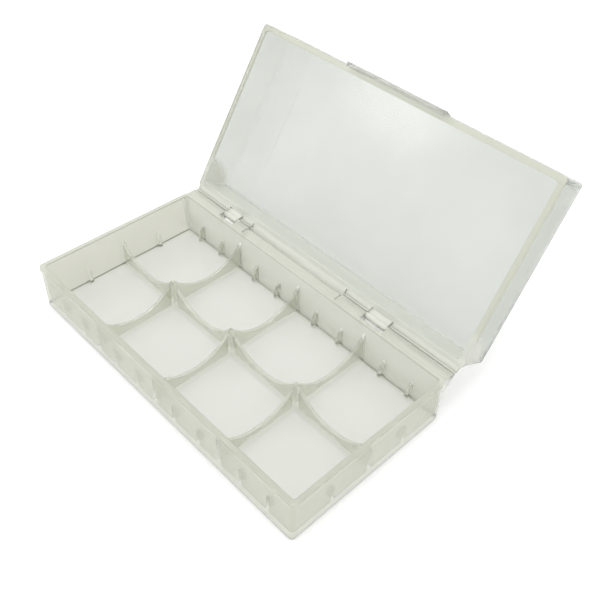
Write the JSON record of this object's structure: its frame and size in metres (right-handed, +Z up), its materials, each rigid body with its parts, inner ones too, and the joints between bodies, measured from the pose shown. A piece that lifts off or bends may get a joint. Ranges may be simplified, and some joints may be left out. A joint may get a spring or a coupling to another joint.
{
  "type": "battery storage box",
  "caption": "Clear plastic box for large round batteries: a shallow tray with scooped dividers and wall fins, and a deep hinged lid with a latch tongue, shown open.",
  "frame": {"origin": "centre of the tray's underside", "axes": "+X along the tray's length to the right, +Y towards the hinge at the back, +Z up"},
  "size_m": [0.1608, 0.1476, 0.0974],
  "materials": {
    "tray_plastic": "milky clear moulded polypropylene",
    "lid_plastic": "milky clear moulded polypropylene"
  },
  "bodies": {
    "tray": {"tray_shell": "tray_plastic", "lengthwise_divider": "tray_plastic", "cross_divider_left_front": "tray_plastic", "cross_divider_left_rear": "tray_plastic", "cross_divider_middle_front": "tray_plastic", "cross_divider_middle_rear": "tray_plastic", "cross_divider_right_front": "tray_plastic", "cross_divider_right_rear": "tray_plastic", "hinge_socket_left_inner": "tray_plastic", "hinge_socket_left_outer": "tray_plastic", "hinge_socket_right_inner": "tray_plastic", "hinge_socket_right_outer": "tray_plastic", "tray_ledge_middle": "tray_plastic"},
    "lid": {"lid_shell": "lid_plastic", "hinge_pin_left": "lid_plastic", "hinge_pin_right": "lid_plastic", "lid_ledge_middle": "lid_plastic", "lid_ledge_left_inner": "lid_plastic", "lid_ledge_left_outer": "lid_plastic", "lid_ledge_right_inner": "lid_plastic", "lid_ledge_right_outer": "lid_plastic"},
    "latch": {"latch_tongue": "lid_plastic"}
  },
  "joints": [
    {"name": "lid_hinge", "type": "hinge", "parent": "tray", "child": "lid", "pos_m": [0, 0.04445, 0.0215], "axis": [-1, 0, 0], "range_deg": [-121.6, 58.4]},
    {"name": "latch_flex", "type": "hinge", "parent": "lid", "child": "latch", "pos_m": [0, 0.09204, 0.09331], "axis": [-1, 0, 0], "range_deg": [0, 8], "stiffness_Nm_per_rad": 0.3}
  ]
}
